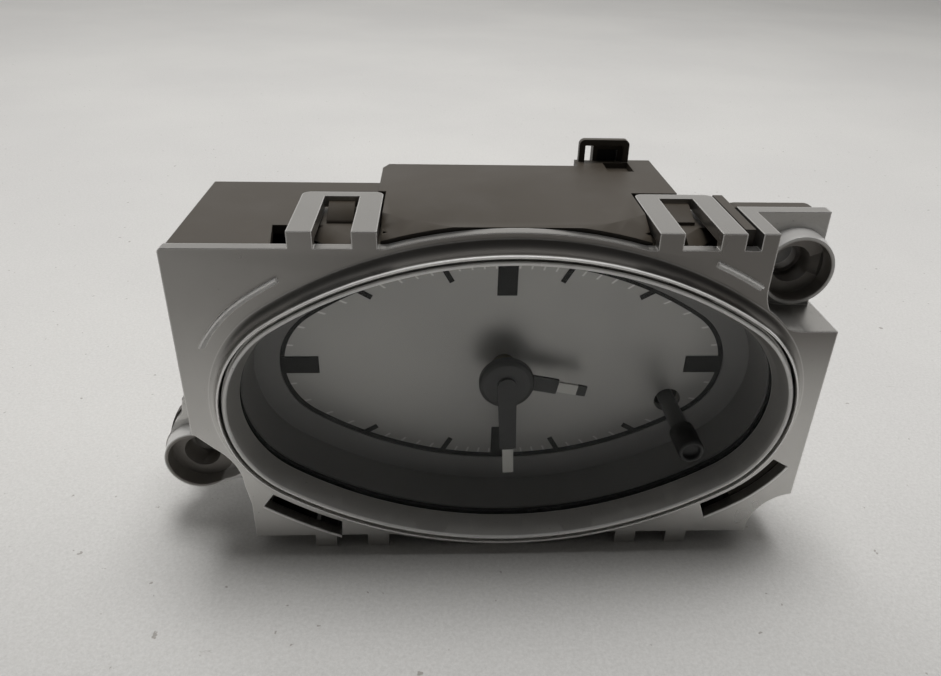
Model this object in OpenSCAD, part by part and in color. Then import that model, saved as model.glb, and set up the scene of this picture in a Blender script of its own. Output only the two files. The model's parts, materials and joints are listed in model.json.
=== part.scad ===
// Quartz car clock: an oval dial in a clip-fitted front carrier, with its movement, light and case.
// X runs across the dial, Y runs back into the dashboard from the carrier's front face, and
// Z runs up. The origin is the middle of the dial's oval, on the carrier's front face.

/* [Oval] */
// Size that the spans and offsets of every oval's four arc centres are multiples of
oval_unit = 0.544; // [0.536:0.001:0.548]
// End radius of the clear opening that the lens shows
window_r = 20.1; // [19.6:0.1:20.4]
// End radius of the visible dial
dial_r = 14.8; // [13:0.1:16.5]
// End radius of the lens and of everything that fills the case's oval passage
insert_r = 22; // [21.7:0.1:22.3]
// Width of the collar's front edge round the bezel
collar_lip = 0.45; // [0.4:0.05:1]
// Width of the bezel's front lip
bezel_lip = 0.8; // [0.5:0.1:1.1]
// Width of the groove in the bezel's rim
groove_w = 0.35; // [0.3:0.05:0.5]
// Depth of the groove in the bezel's rim
groove_d = 1.2; // [0.6:0.1:1.6]
// Width of the cove between the collar and the plate
collar_cove = 2.4; // [1.5:0.1:2.6]
// End radius of the arched top and bottom of the plate
arch_r = 26.5; // [26:0.1:27]

/* [Plate] */
// Width of the carrier's plate
plate_w = 124; // [121:0.5:127]
// How far the plate's middle lies left of the dial's middle
plate_shift = 0.5; // [0:0.1:1]
// Height of the carrier's plate between its straight edges
plate_h = 66.2; // [65:0.1:67]
// Thickness of the plate
plate_t = 2.2; // [1.6:0.1:2.4]
// Corner radius of the plate
plate_corner = 0.9; // [0.5:0.1:2.5]
// Thickness of the skirt that stiffens the plate's edge
skirt_t = 1.6; // [1.2:0.1:2]
// Thickness of the wall round the upper screw niche
niche_wall = 2; // [1.6:0.1:2.2]
// Width of the third leg beside the upper right snap loop
third_leg_w = 3; // [2.4:0.1:3.2]
// Width of the two curved slots in the plate
slot_w = 3.6; // [3:0.1:3.8]
// Width of the two curved ribs on the plate
rib_w = 1; // [0.8:0.1:1.4]
// Height of the two curved ribs on the plate
rib_h = 0.9; // [0.6:0.1:1.2]
// Size of the bevels on the front edges of the collar and the bezel
lip_round = 0.2; // [0.1:0.05:0.25]
// How far the collar and bezel stand in front of the plate
collar_h = 3.1; // [2.4:0.1:3.4]
// Radius of the notch in the plate's lower right corner
corner_notch_r = 9.7; // [8:0.1:10.5]

/* [Screw tubes] */
// Distance of the upper right tube from the middle of the dial
right_tube_x = 55.1; // [54.5:0.1:55.6]
// Height of the upper right tube above the middle of the dial
right_tube_rise = 25.6; // [25:0.1:26.2]
// Distance of the lower left tube from the middle of the dial
left_tube_x = 65.2; // [64.6:0.1:65.8]
// Drop of the lower left tube below the middle of the dial
left_tube_drop = 19.2; // [18.6:0.1:19.8]
// Outer radius of a screw tube
tube_r = 7; // [6.4:0.1:7.2]
// Wall of a screw tube
tube_wall = 0.7; // [0.6:0.1:1.2]
// Depth of a tube's front rim behind the plate's face
tube_front = 8; // [7:0.1:9]
// Radius of the flange's round end at the lower left tube
flange_r = 7.8; // [7.6:0.1:8.2]
// Depth of the mounting flanges behind the plate's face
flange_depth = 11.6; // [11:0.1:12]
// Thickness of the mounting flanges
flange_t = 2.8; // [2.2:0.1:3]
// Depth of that step behind the plate's face, at the bottom of the counterbore
seat_depth = 16.3; // [15.6:0.1:16.5]
// Depth of a screw tube's back end behind the plate's face
tube_back = 18.6; // [18:0.1:19]
// How far the lower left tube widens towards the dial
pocket_spread = 4.8; // [4.6:0.1:5]
// Diameter of the mounting holes
mount_hole_d = 6; // [5:0.1:6.6]
// Width of the step round a mounting hole that its screw's head rests on
seat_ring_w = 0.8; // [0.5:0.1:1.2]
// Radius of the round niche in the plate at the upper right tube
right_niche_r = 8.9; // [8.6:0.1:9.3]
// Radius of the round niche in the plate at the lower left tube
left_niche_r = 11.5; // [11.3:0.1:11.8]

/* [Snap loops] */
// Distance of the loops' middles from the middle of the dial
loop_x = 32.5; // [32:0.1:33]
// Width of a loop
loop_w = 15.6; // [15:0.1:16]
// Width of the window in a loop
loop_window_w = 6.7; // [6:0.1:7.2]
// Height of a loop's outer face above the plate's straight edge
loop_rise = 3.15; // [3:0.05:3.4]
// Thickness of a loop
loop_t = 2.2; // [1.8:0.1:2.4]
// Length of a loop from the plate's face to its back edge
loop_len = 21.2; // [20:0.1:22]
// Radius of a loop's two back corners
loop_corner = 1.7; // [1:0.1:2]
// Width of the bar at the back of a loop
loop_bar = 2.5; // [2:0.1:3]
// Width of a snap lug
lug_w = 5; // [4:0.1:5.6]
// Height of a snap lug
lug_h = 2.3; // [1.6:0.1:2.6]
// Length of a snap lug's ramp
lug_len = 6; // [4:0.1:7]

/* [Case] */
// Thickness of the case's walls
case_wall = 1.8; // [1.4:0.1:2]
// Depth of the case's left side behind the plate's face
case_depth = 37.2; // [36.6:0.1:37.4]
// Depth of the tall middle block
block_depth = 40.2; // [39.8:0.1:41]
// Depth of the block behind the connector
connector_depth = 45; // [44:0.1:46]
// Left edge of the tall block, from the middle of the dial
block_left = 25.8; // [25:0.1:26.4]
// Right edge of the tall block, from the middle of the dial
block_right = 33.6; // [33:0.1:34]
// Left edge of the connector's bump, from the middle of the dial
bump_left = 16.6; // [15.5:0.1:17]
// Depth of the case beside the tall block, at the upper right
shoulder_depth = 21.2; // [21:0.1:21.4]
// Thickness of the case's mounting ears
ear_t = 2.8; // [2.4:0.1:3]
// Outer radius of the sleeve behind an ear, which keeps it clear of the dashboard's frame
sleeve_r = 5.4; // [5.2:0.1:5.8]
// Length of the sleeve behind an ear
sleeve_len = 9; // [6:0.5:11]
// Width of the plug socket
socket_w = 6.6; // [6.5:0.1:6.7]
// Height of the plug socket
socket_h = 14.3; // [13.8:0.1:14.6]
// Wall of the plug socket
socket_wall = 1; // [0.9:0.05:1.05]
// Length of the plug socket behind the case
socket_len = 2.8; // [2.4:0.1:3]
// Width of the cable arch on top of the case
arch_w = 11.1; // [10.8:0.1:11.6]
// Height of the cable arch on top of the case
arch_h = 4.9; // [4.4:0.1:5.4]
// Thickness of the cable arch
arch_t = 1.3; // [1:0.1:1.5]

/* [Dial and glass] */
// Depth of the lens's front face behind the plate's face
lens_depth = 2.3; // [2:0.1:2.6]
// Thickness of the lens
lens_t = 1.5; // [1.2:0.1:1.8]
// Thickness of the foam gasket behind the lens
gasket_t = 0.9; // [0.6:0.1:1.2]
// Depth of the dial's front face behind the plate's face
dial_depth = 16; // [15.6:0.1:16.3]
// Thickness of the dial
dial_t = 0.7; // [0.5:0.1:0.8]
// Thickness of the light guide behind the dial
guide_t = 2; // [1.6:0.1:2.1]
// Width of the long hour marks
block_mark_w = 4.1; // [3:0.1:5]
// Length of the long hour marks
block_mark_len = 7.7; // [6:0.1:8.4]
// Width of the short hour marks
tick_w = 1.1; // [0.8:0.1:1.4]
// Length of the short hour marks
tick_len = 4.3; // [3:0.1:5]
// Height of the printed marks
mark_t = 0.12; // [0.08:0.01:0.15]

/* [Hands and button] */
// Length of the minute hand
minute_len = 21.9; // [20:0.1:23.4]
// Width of the minute hand at the hub
minute_w = 3.9; // [3:0.1:4.4]
// Length of the hour hand
hour_len = 17.4; // [14:0.1:19]
// Width of the hour hand's sleeve
hour_w = 3.4; // [2.8:0.1:4]
// Width of both hands' outer stretches
hand_tip_w = 2.3; // [1.6:0.1:2.6]
// Thickness of the hands
hand_t = 0.7; // [0.5:0.1:0.8]
// Radius of the round hub under the minute hand
hub_r = 5.7; // [5:0.1:6.3]
// Thickness of that hub
hub_t = 1.9; // [1.4:0.1:2.1]
// Distance of the setting button from the middle of the dial
button_x = 36.8; // [36.4:0.1:37.2]
// Drop of the setting button below the middle of the dial
button_drop = 9.3; // [9:0.1:9.7]
// Diameter of the setting button
button_d = 5.2; // [4.6:0.1:5.4]
// Length of the setting button
button_len = 7.4; // [6.5:0.1:7.8]
// Diameter of the setting button's stem
stem_d = 3.6; // [3:0.1:3.8]
// Travel of the setting button
button_travel = 1; // [0.6:0.1:1.2]

/* [Movement] */
// Tooth size of the wheels that turn the minute arbor
centre_module = 0.4; // [0.39:0.005:0.41]
// Tooth size of the second wheel
second_module = 0.36; // [0.355:0.005:0.365]
// Tooth size of the first wheel
first_module = 0.32; // [0.315:0.005:0.325]
// Tooth size of the cannon pinion and motion wheel
motion_module = 0.5; // [0.495:0.005:0.505]
// Thickness of the wheels
wheel_t = 0.8; // [0.6:0.1:0.9]
// Radius of the thin arbors
arbor_r = 0.6; // [0.5:0.05:0.7]
// Radius of the minute arbor
minute_arbor_r = 1.4; // [1.2:0.05:1.5]
// Wall of the hour pipe
hour_pipe_wall = 0.7; // [0.5:0.05:0.8]
// Thickness of the movement's two plates
movement_plate_t = 1.2; // [1:0.1:1.3]
// Distance between the movement's two plates
movement_gap = 5.5; // [5.4:0.1:5.8]
// Radius of the rotor's magnet
magnet_r = 2; // [1.8:0.1:2.1]
// Thickness of the circuit board
board_t = 1.6; // [1.2:0.1:1.6]

/* [Clearances] */
// Gap round a fixed piece in its hole or recess
seat_gap = 0.1; // [0.05:0.01:0.15]
// Gap between the case and the carrier's walls
case_gap = 0.4; // [0.3:0.05:0.5]
// Gap between the bezel and the carrier's collar
bezel_gap = 0.3; // [0.25:0.05:0.4]
// Gap round a turning arbor
arbor_gap = 0.06; // [0.04:0.01:0.08]
// Gap round the setting button and its stem
button_gap = 0.3; // [0.25:0.05:0.4]

/* [Hidden] */
$fn = 96;
eps = 0.02;

// Arc centres of every oval: the ends at end_span, the flat arcs at flat_rise beyond the middle
end_span = 60 * oval_unit;
flat_rise = 91 * oval_unit;
arc_offset = 109 * oval_unit;

// Heights and edges of the outside
plate_left = -plate_w / 2 - plate_shift;
plate_right = plate_w / 2 - plate_shift;
plate_top = plate_h / 2;
loop_top = plate_top + loop_rise;
block_half = plate_h / 2 + loop_rise;
board_top = block_half - case_wall - 1.45;

// Centres of the screw tubes, as seen from the front
right_tube = [right_tube_x, right_tube_rise];
left_tube = [-left_tube_x, -left_tube_drop];
pocket_end = left_tube + pocket_spread * [0.96, 0.28];
seat_r = mount_hole_d / 2 + seat_ring_w;
tail_r = seat_r + 0.6;
button_at = [button_x, -button_drop];
hub = [0, 0];

// End radii of the ovals
passage_r = insert_r + 0.3;
bezel_lip_r = window_r + 1.4 + bezel_lip;
bezel_out_r = bezel_lip_r + groove_w;
collar_in_r = bezel_out_r + bezel_gap;
collar_out_r = collar_in_r + collar_lip;
slot_in_r = collar_out_r + collar_cove + 0.9;
slot_out_r = slot_in_r + slot_w;
rib_r = slot_in_r + 2.2;

// Side, first angle and last angle of each arc about the middle of its end arc
upper_ribs = [[-1, 28.5, 70], [1, 65, 84]];
lower_slots = [[1, -69.5, -30.5], [-1, -86.5, -54.5]];

// Depths behind the plate's face, from front to back
case_front = plate_t + 0.3;
gasket_front = lens_depth + lens_t;
mask_front = gasket_front + gasket_t;
guide_front = dial_depth + dial_t;
guide_back = guide_front + guide_t;
passage_back = guide_back + 1;
hour_wheel_front = guide_back + 0.7;
motion_wheel_front = hour_wheel_front + 1.5;
front_plate_front = motion_wheel_front + 1.4;
gear_front = front_plate_front + movement_plate_t;
gear_back = gear_front + movement_gap;
back_plate_back = gear_back + movement_plate_t;
board_front = back_plate_back + 0.8;
board_back = board_front + board_t;
flange_back = flange_depth + flange_t;
ear_front = flange_back;
sleeve_back = ear_front + ear_t + sleeve_len;
cavity_front = passage_back - eps;

// Depths of the hands, of the hub between them and of the setting button
minute_front = 6.7;
hub_front = minute_front + hand_t;
hub_back = hub_front + hub_t;
hour_front = hub_back + 0.8;
button_front = -3;

// Teeth and centres of the wheels, as seen from the front
centre_teeth = 60;
second_teeth = 50;
first_teeth = 48;
pinion_teeth = 10;
rotor_teeth = 8;
cannon_teeth = 12;
motion_teeth = 36;
motion_pinion_teeth = 10;
hour_teeth = 40;
motion_r = motion_module * (cannon_teeth + motion_teeth) / 2;
hour_module = 2 * motion_r / (motion_pinion_teeth + hour_teeth);
second_angle = 160;
first_angle = -110;
rotor_angle = -60;
motion_angle = -20;
function away(from, angle, distance) = from + distance * [cos(angle), sin(angle)];
second_at = away(hub, second_angle, centre_module * (centre_teeth + pinion_teeth) / 2);
first_at = away(second_at, first_angle, second_module * (second_teeth + pinion_teeth) / 2);
rotor_at = away(first_at, rotor_angle, first_module * (first_teeth + rotor_teeth) / 2);
motion_at = away(hub, motion_angle, motion_r);

// Screw bosses, pillars and the holes in the circuit board, from the hub
boss_r = 2.8;
bosses = [[-28.5, 16], [25, 16], [25, -21]];
pillars = [[-22.3, -16.5], [8.5, 12.5], [-3.5, 17], [19.2, -16]];
bulb_spots = [[-43, 9], [39.3, 10.5]];
bulb_hole_r = 4.2;
bulb_r = 2.5;

// Angles of the hands at rest
minute_angle = -87;
hour_angle = -11;

// A flat outline in the plate's plane, thickened between two depths
module slab(front, back) {
    translate([0, back, 0]) rotate([90, 0, 0]) linear_extrude(back - front) children();
}

// A round bar along Y
module rod(at, r, front, back) {
    slab(front, back) translate(at) circle(r);
}

// The part of the oval's plane that an end arc fills
module end_zone_2d() {
    polygon([[end_span, 0], [2 * end_span, flat_rise], [3 * end_span, 0],
        [2 * end_span, -flat_rise]]);
}

// The part of the oval's plane that a flat arc fills
module flat_zone_2d() {
    polygon([[-end_span, 0], [end_span, 0], [2 * end_span, flat_rise],
        [-2 * end_span, flat_rise]]);
}

// A filled oval of four arcs, by the radius of its ends
module oval_2d(r) {
    for (side = [0, 1]) mirror([side, 0]) intersection() {
        translate([end_span, 0]) circle(r);
        end_zone_2d();
    }
    for (side = [0, 1]) mirror([0, side]) intersection() {
        translate([0, -flat_rise]) circle(arc_offset + r, $fn = 240);
        flat_zone_2d();
    }
}

// A profile of end radius and forward height, carried round the oval
module round_oval() {
    rotate([90, 0, 0]) {
        for (side = [0, 1]) mirror([side, 0, 0]) intersection() {
            translate([end_span, 0, 0]) rotate_extrude() children();
            linear_extrude(60, center = true) end_zone_2d();
        }
        for (side = [0, 1]) mirror([0, side, 0]) intersection() {
            translate([0, -flat_rise, 0]) rotate_extrude($fn = 240)
                translate([arc_offset, 0]) children();
            linear_extrude(60, center = true) flat_zone_2d();
        }
    }
}

// A rectangle with true round corners
module rounded_square(size, r) {
    translate([r, 0]) square([size[0] - 2 * r, size[1]]);
    translate([0, r]) square([size[0], size[1] - 2 * r]);
    for (x = [r, size[0] - r], z = [r, size[1] - r]) translate([x, z]) circle(r);
}

// The niche that frees the upper right screw tube, grown by g
module right_niche_2d(g = 0) {
    r = right_niche_r + g;
    translate(right_tube) {
        circle(r);
        translate([0, -r]) square([30, 60]);
        translate([-r, 0]) square([60, 60]);
    }
}

// The wall round the upper niche and its straight third leg, filled and grown by g
module niche_wall_2d(g = 0) {
    right_niche_2d(niche_wall + g);
    translate([right_tube[0] - right_niche_r - third_leg_w - g, right_tube[1] - g])
        square([30, 60]);
}

// The niche that frees the lower left screw tube, grown by g
module left_niche_2d(g = 0) {
    r = left_niche_r + g;
    translate(left_tube) {
        circle(r);
        polygon([[-40, -50], [r + 0.9, -50], [r + 0.9, -5], [r, 0], [-40, 0]]);
        polygon([[-40, -1], [-40, r + 1.2], [3.2, r + 1.2], [0.6 * r, 0.8 * r], [0, 0]]);
    }
}

// The round notch in the lower right corner, grown by g
module corner_notch_2d(g = 0) {
    translate([plate_right + 1.5, 0.7 - plate_top]) circle(corner_notch_r + g);
}

// The plate's outline, drawn in by g
module plate_2d(g = 0) {
    difference() {
        union() {
            translate([plate_left + g, g - plate_top])
                rounded_square([plate_w - 2 * g, plate_h - 2 * g], plate_corner);
            oval_2d(arch_r - g);
        }
        right_niche_2d(g);
        left_niche_2d(g);
        corner_notch_2d(g);
    }
}

// A wedge of the plate's plane from the middle of an end arc, between two angles
module wedge_2d(side, from, to) {
    translate([side * end_span, 0])
        polygon([[0, 0], for (a = [from, (from + to) / 2, to]) 60 * [side * cos(a), sin(a)]]);
}

// The curved slot or rib between two end radii and two angles
module arc_band_2d(side, from, to, inner, outer) {
    intersection() {
        difference() {
            oval_2d(outer);
            oval_2d(inner);
        }
        wedge_2d(side, from, to);
    }
}

// One snap loop, a flat frame that runs back from the plate
module snap_loop(side) {
    at = side * loop_x - loop_w / 2;
    leg = (loop_w - loop_window_w) / 2;
    difference() {
        union() {
            translate([at, 0, loop_top - loop_t]) linear_extrude(loop_t) {
                square([loop_w, loop_len - loop_corner]);
                rounded_square([loop_w, loop_len], loop_corner);
            }
            translate([at, 0, plate_top - eps]) cube([loop_w, plate_t, loop_rise + eps]);
        }
        translate([at + leg, -eps, plate_top])
            cube([loop_window_w, loop_len - loop_bar + eps, loop_rise + 1]);
    }
}

// Copies its children above and below the middle
module top_and_bottom() {
    children();
    mirror([0, 0, 1]) children();
}

// A screw tube that widens towards its flange, and its tail behind the flange
module screw_tube(at) {
    translate([at[0], flange_depth + eps, at[1]]) rotate([90, 0, 0])
        cylinder(r1 = flange_r - 0.2, r2 = tube_r, h = flange_depth + eps - tube_front);
    rod(at, tail_r, flange_back - eps, tube_back);
}

// The counterbore and hole in a screw tube's tail
module screw_bore(at) {
    rod(at, seat_r, flange_depth - 2 * eps, seat_depth);
    rod(at, mount_hole_d / 2, seat_depth - eps, tube_back + 1);
}

// The oblong outline of the lower left tube and its way towards the niche's wall, grown by g
module pocket_2d(g = 0) {
    r = tube_r + g;
    side = r * [-0.28, 0.96];
    for (at = [left_tube, pocket_end]) translate(at) circle(r);
    polygon([left_tube + side, pocket_end + side, pocket_end - side, left_tube - side]);
}

module front_carrier() {
    color("silver") difference() {
        union() {
            slab(0, plate_t) plate_2d();
            // the third leg beside the upper right loop, and the niche's deep wall
            slab(0, plate_t)
                translate([right_tube[0] - right_niche_r - third_leg_w, plate_top - 1])
                    square([third_leg_w, loop_rise + 1]);
            slab(plate_t - eps, flange_back) intersection() {
                difference() {
                    niche_wall_2d();
                    right_niche_2d();
                }
                translate([plate_left, 0]) square([plate_w, loop_top]);
            }
            slab(flange_depth, flange_back) intersection() {
                niche_wall_2d();
                translate([plate_left, 0]) square([plate_w - 0.9, loop_top]);
            }
            // the lower left niche's wall and its round-ended flange
            slab(plate_t - eps, flange_back) intersection() {
                difference() {
                    left_niche_2d(skirt_t);
                    left_niche_2d();
                }
                translate([plate_left, -plate_top]) square([plate_w, plate_top]);
            }
            slab(flange_depth, flange_back) {
                translate(left_tube) circle(flange_r);
                intersection() {
                    left_niche_2d(skirt_t / 2);
                    translate(left_tube) polygon([flange_r * [-0.96, 0.28], [-4.7, 7.7], [-3, 9.8],
                        [-2.4, 12.9], [-2.4, 22], [20, 22], [20, -0.96 * flange_r],
                        flange_r * [0.28, -0.96]]);
                }
            }
            slab(tube_front + 0.4, flange_depth + eps) pocket_2d();
            // the skirt down the right edge and round the corner notch
            slab(plate_t - eps, flange_depth) intersection() {
                difference() {
                    plate_2d();
                    plate_2d(skirt_t);
                }
                translate([plate_right - 9.6, -plate_h]) square([20, plate_h + 20]);
            }
            round_oval() polygon([[collar_in_r - 1, -plate_t / 2], [collar_in_r - 1, collar_h],
                [collar_out_r - lip_round, collar_h],
                for (a = [0:15:90]) [collar_out_r + collar_cove * (1 - cos(a)),
                    (collar_h - lip_round) * (1 - sin(a))],
                [collar_out_r + collar_cove, -plate_t / 2]]);
            // thin ribs above the dial and raised lips below the two lower slots
            slab(-rib_h, eps) for (rib = upper_ribs)
                arc_band_2d(rib[0], rib[1], rib[2], rib_r - 0.4 * rib_w, rib_r);
            slab(-0.5 * rib_h, eps) for (rib = upper_ribs)
                arc_band_2d(rib[0], rib[1], rib[2], rib_r - rib_w, rib_r - 0.4 * rib_w + eps);
            slab(-0.3, eps) for (slot = lower_slots)
                arc_band_2d(slot[0], slot[1], slot[2], slot_out_r - eps, slot_out_r + 0.5);
            top_and_bottom() for (side = [-1, 1]) snap_loop(side);
            screw_tube(right_tube);
            screw_tube(left_tube);
        }
        slab(-10, plate_t + 1) oval_2d(collar_in_r);
        slab(-1, plate_t + 1) for (slot = lower_slots)
            arc_band_2d(slot[0], slot[1], slot[2], slot_in_r, slot_out_r);
        screw_bore(right_tube);
        screw_bore(left_tube);
        rod(right_tube, tube_r - tube_wall, tube_front - 1, flange_depth - eps);
        slab(tube_front - 1, flange_depth - eps) pocket_2d(-tube_wall);
    }
}

module bezel_ring() {
    top = collar_h - 0.1;
    inner = bezel_lip_r - bezel_lip;
    color("gray") round_oval() polygon([[bezel_out_r, top - groove_d], [bezel_lip_r, top - groove_d],
        [bezel_lip_r, top - lip_round], [bezel_lip_r - lip_round, top], [inner + lip_round, top],
        [inner, top - lip_round], [window_r, -lens_depth], [bezel_out_r, -lens_depth]]);
}

module lens() {
    color("white", 0.3) difference() {
        slab(lens_depth, lens_depth + lens_t) oval_2d(insert_r);
        rod(button_at, button_d / 2 + button_gap, lens_depth - 1, lens_depth + lens_t + 1);
    }
}

module lens_gasket() {
    color("black") slab(gasket_front, gasket_front + gasket_t) difference() {
        oval_2d(insert_r);
        oval_2d(window_r + 0.4);
    }
}

// Gap that the mask's ledge leaves over the printed marks
mask_foot = mark_t + 0.08;

module dial_mask() {
    color("dimgray") round_oval() polygon([[insert_r, -mask_front], [window_r, -mask_front],
        [window_r - 0.2, 1.6 - dial_depth], [dial_r, 0.5 - dial_depth],
        [dial_r, mask_foot - dial_depth], [insert_r - 1, mask_foot - dial_depth],
        [insert_r - 1, -dial_depth], [insert_r, -dial_depth]]);
}

// Half the width and height of the visible dial
dial_half = [end_span + dial_r, dial_r + arc_offset - flat_rise];

// The point where a line from the hub meets the visible dial's edge
function dial_edge(angle) = let (u = [cos(angle), sin(angle)])
    1 / norm([u[0] / dial_half[0], u[1] / dial_half[1]]);

module dial_marks_2d() {
    for (hour = [0:11]) {
        angle = 90 - 30 * hour;
        size = hour % 3 == 0 ? [block_mark_len, block_mark_w] : [tick_len, tick_w];
        rotate(angle) translate([dial_edge(angle) - 0.5 - size[0], -size[1] / 2]) square(size);
    }
}

module dial() {
    color("gainsboro") difference() {
        union() {
            slab(dial_depth, dial_depth + dial_t) oval_2d(insert_r - 0.3);
            slab(dial_depth - mark_t, dial_depth + eps) intersection() {
                dial_marks_2d();
                oval_2d(dial_r - 0.2);
            }
        }
        rod(hub, minute_arbor_r + hour_pipe_wall + 2 * arbor_gap + 0.35, 0, 40);
        rod(button_at, button_d / 2 + button_gap, 0, 40);
    }
}

module light_guide() {
    color("ivory") difference() {
        slab(guide_front, guide_back) oval_2d(insert_r - 0.4);
        rod(hub, minute_arbor_r + hour_pipe_wall + 2 * arbor_gap + 0.6, 0, 40);
        rod(button_at, button_d / 2 + button_gap, 0, 40);
    }
}

// The case's outline behind the plate, drawn in by g
module case_front_2d(g = 0) {
    inset = seat_gap + 0.05 + g;
    difference() {
        union() {
            translate([plate_left + inset + 0.7, inset - plate_top])
                square([plate_w - 2 * inset - 0.7, plate_h - 2 * inset]);
            block_2d(g);
        }
        niche_wall_2d(case_gap + g);
        left_niche_2d(skirt_t + case_gap + g);
        corner_notch_2d(skirt_t + case_gap + g);
        translate([plate_right - skirt_t - case_gap - g, -plate_h]) square([20, 2 * plate_h]);
    }
}

// The tall middle block's outline from the front, drawn in by g
module block_2d(g = 0) {
    translate([-block_left + g, g - block_half])
        square([block_left + block_right - 2 * g, 2 * (block_half - g)]);
}

// The deep rear part's outline, drawn in by g
module case_rear_2d(g = 0) {
    inset = seat_gap + 0.05 + g;
    difference() {
        union() {
            translate([plate_left + inset + 0.7, inset - plate_top])
                square([block_right - plate_left - 2 * inset - 0.7, plate_h - 2 * inset]);
            translate([0, g - 22]) square([button_x + 8.2 - g, 2 * (22 - g)]);
        }
        left_niche_2d(skirt_t + case_gap + g);
    }
}

// Corners of the tall block seen from above
block_plan = [[-block_left, case_front], [-block_left, block_depth - 2.8],
    [-block_left + 1.2, block_depth], [block_right, block_depth], [block_right, case_front]];

// The room that the snap loops take in the tall block
module loop_room() {
    top_and_bottom() for (side = [-1, 1]) {
        translate([side * loop_x - loop_w / 2 - case_gap, 0, plate_top - seat_gap - 0.05])
            cube([loop_w + 2 * case_gap, loop_len + 0.6, 10]);
    }
}

// A snap lug on the case, its ramp rising towards the back
module snap_lug(side) {
    back = loop_len - loop_bar;
    translate([side * loop_x - lug_w / 2, 0, plate_top - 0.4]) rotate([90, 0, 90])
        linear_extrude(lug_w) polygon([[back - lug_len, 0], [back, 0], [back, lug_h + 0.3],
            [back - 1, lug_h + 0.3], [back - lug_len, 0.9]]);
}

// The plug socket's place on top of the case
socket_left = bump_left + 4.1;
socket_top = loop_top + 3.4;
header_back = connector_depth - 3.3;

// The sloping front of the tall block, which follows the plate's arch
module block_front() {
    from = case_front - 1;
    to = case_front + 9;
    rise = 0.36;
    intersection() {
        slab(from, to) flat_zone_2d();
        difference() {
            translate([0, from, 0]) cube([60, to - from, 60]);
            translate([0, from - eps, -flat_rise]) rotate([-90, 0, 0])
                cylinder(r1 = arc_offset + arch_r + 0.7 - rise, h = to - from + 1,
                    r2 = arc_offset + arch_r + 0.7 - rise + rise * (to - from + 1), $fn = 240);
        }
    }
}

module rear_case() {
    color("dimgray") difference() {
        union() {
            difference() {
                union() {
                    slab(case_front, shoulder_depth) case_front_2d();
                    slab(passage_back, case_depth) case_rear_2d();
                    translate([0, 0, -block_half]) linear_extrude(2 * block_half)
                        polygon(block_plan);
                    translate([bump_left, block_depth - eps, 20])
                        cube([block_right - bump_left, connector_depth - block_depth,
                            block_half - 20]);
                }
                slab(case_front + case_wall, cavity_front + eps) case_front_2d(case_wall);
                slab(cavity_front, case_depth - case_wall) case_rear_2d(case_wall);
                slab(cavity_front, block_depth - case_wall) block_2d(case_wall);
                loop_room();
                top_and_bottom() for (side = [0, 1]) mirror([side, 0, 0]) block_front();
                // the dark slot beside the upper left loop, and the recess behind the block
                translate([-loop_x - loop_w / 2 - case_gap, 0, plate_top - 3]) linear_extrude(5)
                    polygon([[0.1, 0], [-2.6, 0], [-4.2, 11.7], [0.1, 11.7]]);
                translate([bump_left + 6, block_depth - 3.9, block_half - 1.3])
                    cube([5.6, 6.7, 5]);
            }
            slab(case_front, passage_back) difference() {
                oval_2d(passage_r + 1.6);
                niche_wall_2d(case_gap);
            }
            top_and_bottom() for (side = [-1, 1]) snap_lug(side);
            for (at = bosses) rod(at, boss_r, gear_front, eps - case_wall
                + (at[0] < -block_left ? case_depth : max(case_depth, block_depth)));
            // the slat beside the upper right loop and the ear behind the carrier's flange
            translate([loop_x + loop_w / 2 + case_gap, case_front, plate_top - 6])
                cube([1.9, loop_len + 0.2 - case_front, loop_rise + 6 - seat_gap]);
            slab(ear_front, ear_front + ear_t) {
                translate([loop_x + loop_w / 2 + case_gap, right_tube[1] - 7.8])
                    rounded_square([19.5, loop_top - seat_gap - right_tube[1] + 7.8], 3);
                translate(left_tube) {
                    circle(flange_r);
                    polygon([flange_r * [-0.96, 0.28], [-6.2, 5.8], [-5.2, 7.9], [-3.8, 9.3],
                        [-2.6, 12], [12, 24], [22, 12], [22, -6], [0, -6]]);
                }
            }
            for (at = [right_tube, left_tube]) rod(at, sleeve_r, ear_front + eps, sleeve_back);
            // the plug socket and the cable arch
            translate([socket_left, connector_depth - eps, socket_top - socket_h])
                cube([socket_w, socket_len + eps, socket_h]);
            slab(connector_depth - arch_t - 0.3, connector_depth)
                translate([bump_left + 0.7, loop_top - 2])
                    rounded_square([arch_w, arch_h + 2], 1.2);
        }
        slab(case_front - 1, guide_back) oval_2d(passage_r);
        slab(guide_back - 1, passage_back + 1) oval_2d(insert_r - 1.2);
        slab(connector_depth - arch_t - 1, connector_depth + eps)
            translate([bump_left + 0.7 + arch_t, loop_top - seat_gap])
                square([arch_w - 2 * arch_t, arch_h - arch_t + seat_gap]);
        translate([socket_left + socket_wall, block_depth - case_wall - 1,
            socket_top - socket_h + socket_wall])
            cube([socket_w - 2 * socket_wall, 40,
                loop_top - case_wall - socket_top + socket_h - socket_wall]);
        translate([socket_left + socket_wall, connector_depth - 2 * eps,
            socket_top - socket_h + socket_wall])
            cube([socket_w - 2 * socket_wall, 40, socket_h - 2 * socket_wall]);
        for (at = bosses) rod(at, 1.1, gear_front - 1, gear_front + 9);
        for (at = bulb_spots) rod(at, bulb_hole_r, 30, 60);
        for (at = [right_tube, left_tube]) {
            rod(at, tail_r + seat_gap, ear_front - 1, tube_back + seat_gap);
            rod(at, mount_hole_d / 2 + 0.3, tube_back, sleeve_back + 1);
        }
    }
}

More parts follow.
